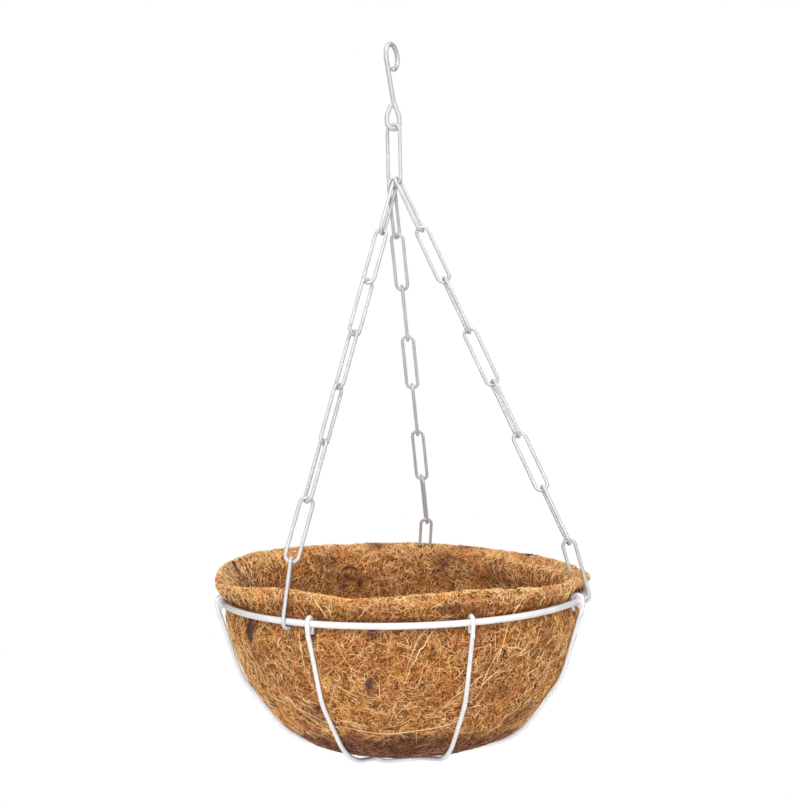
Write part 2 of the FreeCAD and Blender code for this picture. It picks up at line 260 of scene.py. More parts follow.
def build_paths():
    dc, de = bearing(62.0), bearing(25.0)
    zc, rc, ew, zb, zs, zn = 440.7, 10.0, 5.3, 380.9, 391.5, 403.5
    f = lambda s, z: dc * s + ZED * z + DROP
    g = lambda s, z: de * s + ZED * z + DROP
    WIRES["hanger_hook"] = (rounded(
        [f(0, zc - rc), f(rc, zc - rc), f(rc, zc + rc), f(-rc, zc + rc), f(-rc, zc - 3.2), g(0.6, zn),
         g(ew + 0.4, zs), g(ew, zb), g(-ew, zb), g(-ew - 0.4, zs), g(-1.70, zn - 2.8)],
        [rc, rc, rc, 12.0, 15.0, 12.0, 5.2, 5.2, 12.0], 0.8), HOOK_W, False)
    wm, nm = bearing(M_TURN), bearing(M_TURN + 90)
    WIRES["master_link"] = (oval_path(ZED * ((M_TOP + M_LOW) / 2) + DROP, wm, -ZED, M_HALF, 18.5), MASTER_W, True)
    for name, c in CHAINS.items():
        th = math.radians(c["seat"][0])
        reach = M_HALF - c["seat"][1]
        top = ZED * (M_LOW + M_HALF) + (wm * math.sin(th) - ZED * math.cos(th)) * reach + nm * c["seat"][2]
        end = bearing(c["way"]) * 137.7 + ZED * 43.1
        u = unit(end - top)
        w0 = unit(np.cross(A3(0, 1, 0), u))
        n0 = np.cross(u, w0)
        long_ = PITCH + 2 * LINK_W + GAP
        for i, psi in enumerate(c["turn"]):
            t = top + u * (PITCH * i)
            s = math.radians(psi)
            w = w0 * math.cos(s) + n0 * math.sin(s)
            WIRES["chain_%s_link_%d" % (name, i + 1)] = (oval_path(t + u * (long_ / 2) + DROP, w, u, HALF, 19.8), LINK_W, True)
        t8 = top + u * (PITCH * 7)
        er = bearing(c["grip"])
        wh = bearing(c["leg"])
        foot = er * 152.2 + ZED * 2.0
        u8 = unit(foot - wh * HALF - t8)
        w8 = unit(wh - u8 * (wh @ u8))
        a_in, a_out = t8 - w8 * HALF, t8 + w8 * HALF
        tip = a_in + u8 * ((a_in[2] - 19.0) / -u8[2])
        low = er * 152.2 + ZED * -4.75
        lip = er * (152.2 - 4.75 - 2.5) + ZED * -4.75
        WIRES["chain_%s_end_hook" % name] = (rounded([p + DROP for p in (tip, a_in, a_out, foot, low, lip)],
                                                     [HALF, HALF, 9.0, 4.75], 0.6), LINK_W, False)
    a = np.linspace(0, 2 * math.pi, 1200, endpoint=False)
    WIRES["top_ring"] = (np.stack([RING_R * np.cos(a), RING_R * np.sin(a), 0 * a], 1) + DROP, RING_W, True)
    for level, (label, turn, side_a, side_b) in enumerate(HOOPS):
        er = bearing(turn)
        et = np.cross(ZED, er)
        off, ts = 4.2, -1.0
        out = RING_R + off
        base = -128.5 - level * 3.45
        low_z = -110.8 - (3.0 if level == 0 else 0.0)
        p = lambda rho, z, t=0.0: er * rho + et * t + ZED * z + DROP
        half = [(out, -3.5), (133.8, -60.3), (96.5, low_z), (18.0, base)]
        bends = [20.0, 56.0, 62.0, 25.0]
        lr = math.hypot(2 * off, ts) / 2
        inner = out - 2 * off
        ends = lambda sg, sd: [p(sg * inner, -8.5, sd * ts), p(sg * inner, lr, sd * ts), p(sg * out, lr)]
        pts = ends(1, side_a) + [p(r, z) for r, z in half]
        pts += [p(-r, z) for r, z in reversed(half)] + list(reversed(ends(-1, side_b)))
        WIRES[label] = (rounded(pts, [lr, lr] + bends + bends[::-1] + [lr, lr], 0.9), RIB_W, False)


build_paths()
BODY_OF = {n: ("basket" if n == "top_ring" or n.startswith("rib_") else n) for n in WIRES}

# -------------------------------------------------------------- materials
def nodes_of(name):
    m = bpy.data.materials.new(name)
    m.use_nodes = True
    nt = m.node_tree
    for n in list(nt.nodes):
        nt.nodes.remove(n)
    out = nt.nodes.new("ShaderNodeOutputMaterial")
    bs = nt.nodes.new("ShaderNodeBsdfPrincipled")
    nt.links.new(bs.outputs[0], out.inputs[0])
    return m, nt, bs


class Tree:
    def __init__(self, nt):
        self.nt = nt

    def put(self, sock, val):
        if isinstance(val, bpy.types.NodeSocket):
            self.nt.links.new(val, sock)
        else:
            sock.default_value = val

    def math(self, op, a, b=0.0, c=0.0, clamp=False):
        n = self.nt.nodes.new("ShaderNodeMath")
        n.operation = op
        n.use_clamp = clamp
        self.put(n.inputs[0], a)
        self.put(n.inputs[1], b)
        self.put(n.inputs[2], c)
        return n.outputs[0]

    def vmath(self, op, a, b=(0, 0, 0), scale=None):
        n = self.nt.nodes.new("ShaderNodeVectorMath")
        n.operation = op
        self.put(n.inputs[0], a)
        self.put(n.inputs[1], b)
        if scale is not None:
            self.put(n.inputs["Scale"], scale)
        return n.outputs[0]

    def noise(self, vec, scale, detail=2.0, rough=0.5, dist=0.0, dims="3D", color=False):
        n = self.nt.nodes.new("ShaderNodeTexNoise")
        n.noise_dimensions = dims
        self.put(n.inputs["Vector"], vec)
        self.put(n.inputs["Scale"], scale)
        self.put(n.inputs["Detail"], detail)
        self.put(n.inputs["Roughness"], rough)
        self.put(n.inputs["Distortion"], dist)
        return n.outputs["Color" if color else "Fac"]

    def ramp(self, fac, stops, interp="LINEAR"):
        n = self.nt.nodes.new("ShaderNodeValToRGB")
        n.color_ramp.interpolation = interp
        el = n.color_ramp.elements
        while len(el) < len(stops):
            el.new(0.5)
        for e, (p, c) in zip(el, stops):
            e.position = p
            e.color = (c, c, c, 1) if isinstance(c, float) else (*c, 1)
        self.put(n.inputs[0], fac)
        return n.outputs[0]

    def smooth(self, x, lo, hi):
        n = self.nt.nodes.new("ShaderNodeMapRange")
        n.interpolation_type = "SMOOTHSTEP"
        self.put(n.inputs["Value"], x)
        n.inputs["From Min"].default_value = lo
        n.inputs["From Max"].default_value = hi
        n.inputs["To Min"].default_value = 0.0
        n.inputs["To Max"].default_value = 1.0
        return n.outputs[0]

    def mix(self, fac, a, b, mode="MIX"):
        n = self.nt.nodes.new("ShaderNodeMix")
        n.data_type = "RGBA"
        n.blend_type = mode
        self.put(n.inputs[0], fac)
        self.put(n.inputs[6], a if isinstance(a, bpy.types.NodeSocket) else (*a, 1))
        self.put(n.inputs[7], b if isinstance(b, bpy.types.NodeSocket) else (*b, 1))
        return n.outputs[2]

    def attr(self, name):
        n = self.nt.nodes.new("ShaderNodeAttribute")
        n.attribute_name = name
        return n.outputs["Fac"]

    def bump(self, height, strength, dist, normal=None):
        n = self.nt.nodes.new("ShaderNodeBump")
        self.put(n.inputs["Height"], height)
        self.put(n.inputs["Strength"], strength)
        self.put(n.inputs["Distance"], dist)
        if normal is not None:
            self.put(n.inputs["Normal"], normal)
        return n.outputs[0]


def srgb(r, g, b):
    f = lambda c: c / 12.92 if c <= 0.04045 else ((c + 0.055) / 1.055) ** 2.4
    return tuple(f(x / 255) for x in (r, g, b))


def coating_material(name, tone):
    m, nt, bs = nodes_of(name)
    t = Tree(nt)
    co = nt.nodes.new("ShaderNodeTexCoord").outputs["Object"]
    big = t.noise(co, 60.0, 2.0, 0.5)
    fine = t.noise(co, 900.0, 3.0, 0.55)
    mid = t.noise(co, 260.0, 3.0, 0.6)
    base = t.mix(t.smooth(big, 0.35, 0.7), srgb(tone - 12, tone - 12, tone - 8), srgb(tone, tone - 2, tone - 3))
    # faint rust-brown handling marks and dust held in the coating
    dirt = t.math("MULTIPLY", t.smooth(mid, 0.62, 0.8), t.smooth(big, 0.5, 0.75))
    base = t.mix(t.math("MULTIPLY", dirt, 0.35), base, srgb(tone - 32, tone - 42, tone - 52))
    nt.links.new(base, bs.inputs["Base Color"])
    t.put(bs.inputs["Roughness"], t.math("MULTIPLY_ADD", mid, 0.22, 0.30))
    bs.inputs["Coat Weight"].default_value = 0.6
    bs.inputs["Coat Roughness"].default_value = 0.2
    bs.inputs["Coat IOR"].default_value = 1.5
    bs.inputs["IOR"].default_value = 1.5
    h = t.math("ADD", t.math("MULTIPLY", mid, 0.7), t.math("MULTIPLY", fine, 0.3))
    nt.links.new(t.bump(h, 0.14, 0.0004), bs.inputs["Normal"])
    return m


def fibre_layers(t, uv, specs, warp):
    """Ridged, stretched noise in several directions: strands lying over each
    other.  Returns (height, strand tone summed over the layers)."""
    height = None
    tone = None
    for k, (angle, across, along, width, lift) in enumerate(specs):
        a = math.radians(angle)
        rot = t.nt.nodes.new("ShaderNodeMapping")
        rot.vector_type = "POINT"
        t.put(rot.inputs["Vector"], warp)
        rot.inputs["Location"].default_value = (k * 3.71, k * 1.37, 0)
        rot.inputs["Rotation"].default_value = (0, 0, a)
        rot.inputs["Scale"].default_value = (1, 1, 1)
        st = t.vmath("MULTIPLY", rot.outputs[0], (1.0 / along, 1.0 / across, 0.0))
        nz = t.noise(st, 1.0, 1.0, 0.4, 0.0, "2D")
        d = t.math("ABSOLUTE", t.math("SUBTRACT", nz, 0.5))
        ridge = t.math("SUBTRACT", 1.0, t.smooth(d, 0.0, width))
        # strands come and go along their length
        gate = t.noise(t.vmath("MULTIPLY", rot.outputs[0], (0.9 / along, 0.30 / across, 0.0)), 1.0, 1.0, 0.5, 0.0, "2D")
        gate = t.smooth(gate, 0.42, 0.58)
        ridge = t.math("MULTIPLY", ridge, gate)
        lev = t.math("MULTIPLY", ridge, lift)
        height = lev if height is None else t.math("MAXIMUM", height, lev)
        tone = ridge if tone is None else t.math("MULTIPLY_ADD", tone, 0.55, ridge)
    return height, tone


def coir_material(name, light=1.0):
    m, nt, bs = nodes_of(name)
    t = Tree(nt)
    uvn = nt.nodes.new("ShaderNodeUVMap")
    uvn.uv_map = "mat_mm"
    uv = uvn.outputs[0]          # millimetres over the mat
    co = nt.nodes.new("ShaderNodeTexCoord").outputs["Object"]
    # curling: the strands' courses are bent by slow noise
    w1 = t.noise(co, 110.0, 2.0, 0.55, 0.0, "3D", True)
    w1 = t.vmath("SCALE", t.vmath("SUBTRACT", w1, (0.5, 0.5, 0.5)), scale=9.0)
    w2 = t.noise(co, 420.0, 1.0, 0.5, 0.0, "3D", True)
    w2 = t.vmath("SCALE", t.vmath("SUBTRACT", w2, (0.5, 0.5, 0.5)), scale=1.6)
    warp = t.vmath("ADD", t.vmath("ADD", uv, w1), w2)
    specs = [(8, 1.5, 17, 0.055, 1.0), (52, 1.3, 14, 0.06, 0.92), (101, 1.7, 19, 0.05, 0.97), (147, 1.35, 15, 0.06, 0.88),
             (29, 1.1, 11, 0.07, 0.75), (78, 1.0, 12, 0.07, 0.7), (124, 1.15, 12, 0.07, 0.72), (170, 1.0, 10, 0.07, 0.7)]
    height, tone = fibre_layers(t, uv, specs, warp)
    fine = t.noise(co, 1500.0, 3.0, 0.65)
    blotch = t.noise(co, 34.0, 3.0, 0.55)
    patch = t.noise(co, 75.0, 3.0, 0.6)
    pits = t.noise(co, 760.0, 1.5, 0.5)
    # colour from the depths of the mat up to the strands on top; the darker colour between the strands is partly the
    # fibres' own and partly painted shade
    shaded_deep_fibre = t.mix(t.smooth(patch, 0.35, 0.68), srgb(140, 78, 36), srgb(186, 118, 62))
    body = t.mix(t.smooth(blotch, 0.32, 0.70), srgb(226, 160, 98), srgb(246, 194, 118))
    body = t.mix(t.math("MULTIPLY", t.smooth(patch, 0.55, 0.75), 0.5), body, srgb(218, 142, 92))
    straw = t.mix(t.smooth(fine, 0.3, 0.7), srgb(228, 174, 112), srgb(250, 214, 156))
    col = t.mix(t.smooth(tone, 0.05, 0.85), shaded_deep_fibre, body)
    col = t.mix(t.math("MULTIPLY", t.smooth(tone, 0.95, 1.75), 0.85), col, straw)
    # painted shade: near-black colour in the pits of the mat, where the holes fall into shadow; the same mask sinks the
    # bump
    painted_pit_shade = t.math("MULTIPLY", t.smooth(pits, 0.55, 0.62), t.smooth(patch, 0.28, 0.5))
    col = t.mix(t.math("MULTIPLY", painted_pit_shade, 0.9), col, srgb(54, 24, 10))
    # dark stains where husk and bark lie, the darker foot band, and the painted shade line along the ring, all from one
    # attribute
    stain_and_ring_shade = t.attr("stain_and_ring_shade")
    stain_and_ring_shade = t.math("MULTIPLY", stain_and_ring_shade, t.math("MULTIPLY_ADD", t.smooth(patch, 0.3, 0.6), 0.5, 0.5))
    col = t.mix(t.math("MULTIPLY", stain_and_ring_shade, 0.85, clamp=True), col, t.mix(t.smooth(tone, 0.4, 1.4), srgb(70, 36, 32), srgb(118, 70, 58)))
    # the pale band along the crest: lighter cut fibres and a painted highlight
    pale_crest_highlight = t.attr("pale_crest_highlight")
    col = t.mix(t.math("MULTIPLY", pale_crest_highlight, 0.55), col, t.mix(t.smooth(tone, 0.2, 1.2), srgb(196, 142, 84), srgb(244, 208, 146)))
    nt.links.new(col, bs.inputs["Base Color"])
    bs.inputs["Roughness"].default_value = 0.82
    bs.inputs["Specular IOR Level"].default_value = 0.12
    h = t.math("MULTIPLY_ADD", fine, 0.12, height)
    h = t.math("MULTIPLY_ADD", painted_pit_shade, -0.8, h)
    nt.links.new(t.bump(h, 0.9, 0.0009), bs.inputs["Normal"])
    return m


def strand_material():
    m, nt, bs = nodes_of("coir_strand")
    t = Tree(nt)
    co = nt.nodes.new("ShaderNodeTexCoord").outputs["Object"]
    tone = t.attr("tone")
    fine = t.noise(co, 700.0, 2.0, 0.6)
    c = t.ramp(tone, [(0.0, srgb(112, 60, 28)), (0.22, srgb(186, 118, 64)), (0.5, srgb(236, 174, 110)), (0.8, srgb(252, 208, 146)), (1.0, srgb(255, 238, 190))])
    blot = t.noise(co, 34.0, 3.0, 0.55)
    red = t.noise(co, 52.0, 2.0, 0.5)
    c = t.mix(t.math("MULTIPLY", t.smooth(fine, 0.5, 0.8), 0.4), c, srgb(156, 96, 56))
    c = t.mix(t.math("MULTIPLY", t.smooth(blot, 0.48, 0.66), 0.45), c, srgb(250, 222, 150), "MULTIPLY")
    c = t.mix(t.math("MULTIPLY", t.smooth(red, 0.50, 0.68), 0.6), c, srgb(222, 176, 160), "MULTIPLY")
    # the stain colour; along the ring it is painted shade
    soaked_and_ring_shaded = t.ramp(tone, [(0.15, srgb(50, 24, 22)), (0.5, srgb(92, 50, 44)), (0.78, srgb(132, 80, 68)), (1.0, srgb(198, 144, 112))])
    c = t.mix(t.math("MULTIPLY", t.attr("stain_and_ring_shade"), 0.92), c, soaked_and_ring_shaded)
    nt.links.new(c, bs.inputs["Base Color"])
    bs.inputs["Roughness"].default_value = 0.6
    bs.inputs["Specular IOR Level"].default_value = 0.2
    nt.links.new(t.bump(fine, 0.3, 0.0001), bs.inputs["Normal"])
    return m


def bark_material():
    m, nt, bs = nodes_of("husk_flake")
    t = Tree(nt)
    co = nt.nodes.new("ShaderNodeTexCoord").outputs["Object"]
    st = t.vmath("MULTIPLY", co, (900.0, 900.0, 120.0))
    grain = t.noise(st, 1.0, 3.0, 0.6)
    c = t.ramp(grain, [(0.25, srgb(48, 26, 22)), (0.55, srgb(88, 54, 46)), (0.8, srgb(136, 96, 82))])
    nt.links.new(c, bs.inputs["Base Color"])
    bs.inputs["Roughness"].default_value = 0.7
    nt.links.new(t.bump(grain, 0.5, 0.0003), bs.inputs["Normal"])
    return m


COAT = coating_material("white_coating", 236)
# the same white coating painted greyer (204 for 236) for the hanger hook, master link and chains: painted shade for the
# thin wires
COAT_PAINTED_GREY = coating_material("white_coating_painted_grey", 204)
COIR = coir_material("coir_mat")
STRAND = strand_material()
BARK = bark_material()

for n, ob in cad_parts.items():
    ob.data.materials.clear()
    ob.data.materials.append(COIR if n == "coco_liner" else COAT)

# ------------------------------------------------------------------ wires
def add_webs(ob, node):
    """Coating that has run and set between a rib's leg and its cut tail, under
    the ring: an oval plug that narrows on to the leg."""
    import bmesh
    label, turn, side_a, side_b = [h for h in HOOPS if h[0] == node][0]
    er = bearing(turn)
    et = np.cross(ZED, er)
    bm = bmesh.new()
    bm.from_mesh(ob.data)
    for sg, sd in ((1, side_a), (-1, side_b)):
        outer, inner, side = RING_R + 4.2, RING_R - 4.2, -1.0 * sd
        rings = []
        # height, how far the plug reaches from leg towards tail, half thickness
        for z, reach, thick in ((3.4, 0.96, 0.4), (2.6, 1.0, 0.9), (0.0, 1.0, 1.15), (-2.8, 0.99, 1.1), (-3.8, 0.72, 1.2),
                                (-4.8, 0.50, 1.35), (-6.2, 0.34, 1.5), (-8.0, 0.24, 1.6), (-10.0, 0.16, 1.6), (-11.6, 0.08, 1.3)):
            lean = 0.0 if z > -3.5 else (z + 3.5) * 0.17
            leg = er * sg * (outer + lean)
            tail = er * sg * inner + et * side
            along = tail - leg
            span = np.linalg.norm(along)
            ax = along / span
            half = 0.5 * (span * reach + (1.45 if z > -9.0 else 1.2))
            mid = leg - ax * (1.2 if z > -9.0 else 1.1) + ax * half
            bx = unit(np.cross(ZED, ax))
            ring = []
            for q in range(18):
                a = 2 * math.pi * q / 18
                ca, sa = math.cos(a), math.sin(a)
                # a rounded, slightly square section
                ka = abs(ca) ** 0.75 * (1 if ca >= 0 else -1)
                kb = abs(sa) ** 0.75 * (1 if sa >= 0 else -1)
                p = mid + ax * half * ka + bx * thick * kb + ZED * z + DROP
                ring.append(bm.verts.new(Vector(p * MM)))
            rings.append(ring)
        for a, b in zip(rings[:-1], rings[1:]):
            for q in range(18):
                bm.faces.new((a[q], a[(q + 1) % 18], b[(q + 1) % 18], b[q]))
        bm.faces.new(rings[0][::-1])
        bm.faces.new(rings[-1])
    bmesh.ops.recalc_face_normals(bm, faces=bm.faces)
    for f in bm.faces:
        f.smooth = True
    bm.to_mesh(ob.data)
    bm.free()


for k, (node, (path, rad, closed)) in enumerate(WIRES.items()):
    extra = np.ones(len(path))
    if closed and node != "top_ring":
        # butt joint half way down one leg: a shallow nick between two cut ends
        leg = len(path) // 2 if (k % 3) else 0
        d = np.minimum(abs(np.arange(len(path)) - leg), len(path) - abs(np.arange(len(path)) - leg)) * 0.7
        extra *= 1 - 0.16 * np.exp(-(d / 0.45) ** 2) - 0.02 * (d < 3.0)
    if node.startswith("rib_"):
        # the coating runs thick where the wire is looped over the ring
        extra *= 1 + 0.10 * np.exp(-((path - DROP)[:, 2] - 5.5) ** 2 / 9.0)
    ob = wire(node + "_coated", path, rad, closed, 24 if rad > 1.9 else 20, seed=k + 1, rough=0.018, extra=extra)
    if node.startswith("rib_"):
        add_webs(ob, node)
    # the hanger hook, master link and chains take the greyer coating, painted shade
    ob.data.materials.append(COAT if node == "top_ring" or node.startswith("rib_") else COAT_PAINTED_GREY)
    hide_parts(node)
    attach(ob, BODY_OF[node])

# ------------------------------------------------------------------ liner
# Heights of the lip round the rim, in mm over the ring plane, by bearing.
CREST = [(0, 13.5), (12, 13.5), (21, 15), (38, 16.5), (52, 17.5), (64, 19.7), (80, 22.3), (93, 23.2), (114, 23.9),
         (130, 25.4), (144, 26.4), (156, 25.9), (172, 24.6), (182, 22.0), (190, 18.0), (197, 16.0), (208, 19.0),
         (220, 22.6), (235, 24.5), (244, 23.2), (254, 20.4), (269, 22.0), (284, 24.3), (294, 23.7), (304, 21.9),
         (316, 19.2), (323, 18.6), (331, 19.6), (338, 17.5), (343.5, 14.5), (350, 14.0)]
FLARE = [(0, 154.0), (15, 153.0), (40, 151.5), (90, 150.5), (130, 151.5), (165, 152.4), (182, 153.6), (195, 153.4), (210, 152.0),
         (226, 151.0), (235.6, 148.8), (245, 150.8), (270, 151.6), (300, 151.5), (330, 151.0), (343.5, 148.2), (352, 153.6)]


def ring_curve(table, deg):
    x = np.array([a for a, _ in table], float)
    y = np.array([b for _, b in table], float)
    x = np.concatenate([x - 360, x, x + 360])
    y = np.concatenate([y, y, y])
    # smooth periodic interpolation
    fine = np.arange(-360, 720, 0.5)
    v = np.interp(fine, x, y)
    ker = np.exp(-0.5 * (np.arange(-12, 13) / 5.0) ** 2)
    v = np.convolve(v, ker / ker.sum(), "same")
    return np.interp(deg % 360, fine, v)


def liner_profile(crest, flare, torn=0.0):
    """Closed section (r, z), from the outside foot up and over to the inside."""
    return [(0.0, -126.2), (12, -126.2), (24, -125.3), (41, -121.8), (63.7, -117.3), (75.9, -113.9), (87.9, -109.0),
            (98.6, -101.6), (107.5, -92.0), (115.5, -81.3), (123.7, -70.0), (131.6, -57.8), (136.5, -44.2),
            (141.1, -29.8), (144.9, -16.0), (144.9, -11.6), (144.2, -7.0), (143.9 - 2.6 * torn, -3.0), (143.9 - 4.2 * torn, 1.6 + 3.0 * torn),
            (145.2 - 3.6 * torn, 3.9 + 5.0 * torn), (flare - 4.2 + 1.4 * torn, 6.0 + 5.6 * torn), (flare - 2.9 + 1.2 * torn, 8.6 + 3.6 * torn),
            (flare - 1.7 + 0.8 * torn, 0.45 * crest + 3.4 + 2.0 * torn),
            (flare - 0.3, crest - 4.0), (flare - 0.1, crest - 1.7), (flare - 1.5, crest), (flare - 3.9, crest - 0.4),
            (flare - 5.8, crest - 3.0), (flare - 8.2, crest - 7.0), (0.5 * flare + 62.0, 0.5 * crest - 1.0), (134.4, 1.0), (133.2, -6.0),
            (134.0, -16.0), (131.5, -31.0),
            (126.0, -46.0), (118.6, -60.5), (112.0, -71.5), (103.5, -82.5), (94.0, -92.0), (82.0, -100.5), (68.0, -107.0),
            (48.0, -112.3), (26.0, -115.6), (0.0, -116.8)]


def smooth_polyline(pts, n):
    """Resample a polyline through a light corner-rounding."""
    p = np.array(pts, float)
    for _ in range(3):      # Chaikin, ends kept
        q = np.empty((2 * len(p) - 2, 2))
        q[0::2] = p[:-1] * 0.75 + p[1:] * 0.25
        q[1::2] = p[:-1] * 0.25 + p[1:] * 0.75
        q[0] = p[0]
        q[-1] = p[-1]
        p = q
    d = np.concatenate([[0], np.cumsum(np.linalg.norm(np.diff(p, axis=0), axis=1))])
    s = np.linspace(0, d[-1], n)
    return np.stack([np.interp(s, d, p[:, 0]), np.interp(s, d, p[:, 1])], 1), s


NU, NV = (560, 236)


def fbm(points, scale, octaves, seed):
    off = Vector((seed * 13.1, seed * 5.7, seed * 9.2))
    out = np.zeros(len(points))
    amp = 1.0
    tot = 0.0
    for o in range(octaves):
        s = scale * 2 ** o
        out += amp * np.array([noise.noise(Vector(p) * s + off) for p in points])
        tot += amp
        amp *= 0.55
    return out / tot


def build_liner():
    deg = np.arange(NU) * 360.0 / NU
    crest = ring_curve(CREST, deg)
    flare = ring_curve(FLARE, deg)
    wav = np.array([noise.noise(Vector((math.cos(math.radians(d)) * 7.0, math.sin(math.radians(d)) * 7.0, 3.0))) for d in deg])
    wav2 = np.array([noise.noise(Vector((math.cos(math.radians(d)) * 22.0, math.sin(math.radians(d)) * 22.0, 8.0))) for d in deg])
    crest = crest - 1.0 + wav * 0.8 + wav2 * 0.7
    flare = flare - 0.9 + wav * -0.5 + wav2 * 0.5
    P = np.zeros((NU, NV, 3))
    UV = np.zeros((NU, NV, 2))
    PR = np.zeros((NU, NV, 2))
    for i in range(NU):
        gap = (deg[i] - 338.0) / 5.2
        prof, s = smooth_polyline(liner_profile(crest[i], flare[i], math.exp(-gap ** 4)), NV)
        PR[i] = prof
        c, sn = math.cos(math.radians(deg[i])), math.sin(math.radians(deg[i]))
        P[i, :, 0] = prof[:, 0] * c
        P[i, :, 1] = prof[:, 0] * sn
        P[i, :, 2] = prof[:, 1]
        UV[i, :, 0] = math.radians(deg[i]) * 145.0
        UV[i, :, 1] = s
    return deg, P, UV, PR


deg, P, UV, PR = build_liner()
PR0 = PR[0]


def grid_normals(G):
    du = np.roll(G, -1, 0) - np.roll(G, 1, 0)
    dv = np.gradient(G, axis=1)
    n = np.cross(du, dv)
    ln = np.linalg.norm(n, axis=2)
    ln[ln < 1e-9] = 1
    return n / ln[:, :, None]


N = grid_normals(P)
# lumps in the felted mat: broad hand-pressed waves, then clumps of fibre
flat = P.reshape(-1, 3)
lump = fbm(flat, 0.028, 2, 1).reshape(NU, NV)
clump = fbm(flat, 0.11, 3, 2).reshape(NU, NV)
grit = fbm(flat, 0.42, 2, 3).reshape(NU, NV)
is_out = (np.arange(NV) < 96)[None, :] * np.ones((NU, 1))
r_all = PR[:, :, 0]
z_all = PR[:, :, 1]
# distance from the two poles fades the displacement so the centre closes
fade = np.clip(r_all / 12.0, 0, 1)
near_lip = np.exp(-((z_all - 19.0) / 10.0) ** 2)
disp = (lump * 1.5 + clump * 1.0) * fade * (1 - 0.62 * near_lip) + grit * 0.6 * fade - 0.4 * near_lip
P = P + N * disp[:, :, None]

# keep clear of every wire: pull the mat in radially where a wire runs
wire_pts = []
wire_rad = []
for node, (path, rad, closed) in WIRES.items():
    if node.startswith("rib_") or node == "top_ring" or node.endswith("end_hook"):
        wire_pts.append(path - DROP)
        wire_rad.append(np.full(len(path), rad))
wire_pts = np.concatenate(wire_pts)
wire_rad = np.concatenate(wire_rad)


def clear_wires(G, margin=0.45, lip_margin=0.35):
    from mathutils.kdtree import KDTree
    kd = KDTree(len(wire_pts))
    for i, p in enumerate(wire_pts):
        kd.insert(p, i)
    kd.balance()
    moved = 0
    for it in range(3):
        for i in range(G.shape[0]):
            for j in range(G.shape[1]):
                p = G[i, j]
                r = math.hypot(p[0], p[1])
                if r < 15 or p[2] > 34:
                    continue
                q, k, d = kd.find(p)
                need = wire_rad[k] + margin
                if d < need:
                    q = np.array(q)
                    rq = math.hypot(q[0], q[1])
                    v = p - q
                    radial = np.array([p[0] / r, p[1] / r, 0.0])
                    # outside surface goes in, inside surface goes out
                    inner_leg = (q[2] > 12 and rq < 146.5 and j > NV * 0.5)
                    dirn = radial if inner_leg else -radial
                    if p[2] > 1.0 and q[2] < 6.5 and rq < 152.0:
                        dirn = unit(p - np.array([RING_R * p[0] / r, RING_R * p[1] / r, 0.0]))
                    if p[2] < -60 and not inner_leg:
                        dirn = unit(np.array([-p[0], -p[1], -(p[2] + 20) * 1.2]))
                    b = float(v @ dirn)
                    c = float(v @ v) - need ** 2
                    t = -b + math.sqrt(max(0.0, b * b - c))
                    G[i, j] = p + dirn * t
                    moved += 1
    return moved


clear_wires(P)


def build_liner_mesh():
    # drop the doubled pole points: one vertex at each pole
    verts = P[:, 1:-1, :].reshape(-1, 3)
    nv = NV - 2
    pole_a = P[:, 0].mean(0)
    pole_b = P[:, -1].mean(0)
    verts = np.concatenate([verts, [pole_a, pole_b]]) + DROP
    ia, ib = NU * nv, NU * nv + 1
    I, Jx = np.meshgrid(np.arange(NU), np.arange(nv - 1), indexing="ij")
    a = I * nv + Jx
    b = ((I + 1) % NU) * nv + Jx
    quads = np.stack([a, b, b + 1, a + 1], 2).reshape(-1, 4)
    i = np.arange(NU)
    ni = (i + 1) % NU
    fan_a = np.stack([np.full(NU, ia), ni * nv, i * nv], 1)
    fan_b = np.stack([np.full(NU, ib), i * nv + nv - 1, ni * nv + nv - 1], 1)
    loops = np.concatenate([quads.ravel(), fan_a.ravel(), fan_b.ravel()])
    sizes = np.concatenate([np.full(len(quads), 4), np.full(2 * NU, 3)])
    ob = new_mesh("coir_liner", verts * MM, loops, sizes=sizes)
    me = ob.data
    uvl = me.uv_layers.new(name="mat_mm")
    # millimetre coordinates, continued across the seam
    lv = np.zeros(len(me.loops), np.int32)
    me.loops.foreach_get("vertex_index", lv)
    UVf = np.concatenate([UV[:, 1:-1].reshape(-1, 2), [[0, 0], [0, UV[0, -1, 1]]]])
    co = UVf[lv]
    lap = math.radians(360) * 145.0
    st = np.concatenate([[0], np.cumsum(sizes)[:-1]])
    u = co[:, 0]
    for s0, k in zip(st, sizes):
        blk = u[s0:s0 + k]
        if blk.max() - blk.min() > lap / 2:
            blk[blk < lap / 2] += lap
    co[:, 0] = u
    uvl.data.foreach_set("uv", co.astype(np.float32).ravel())
    return ob, verts


liner, LV = build_liner_mesh()


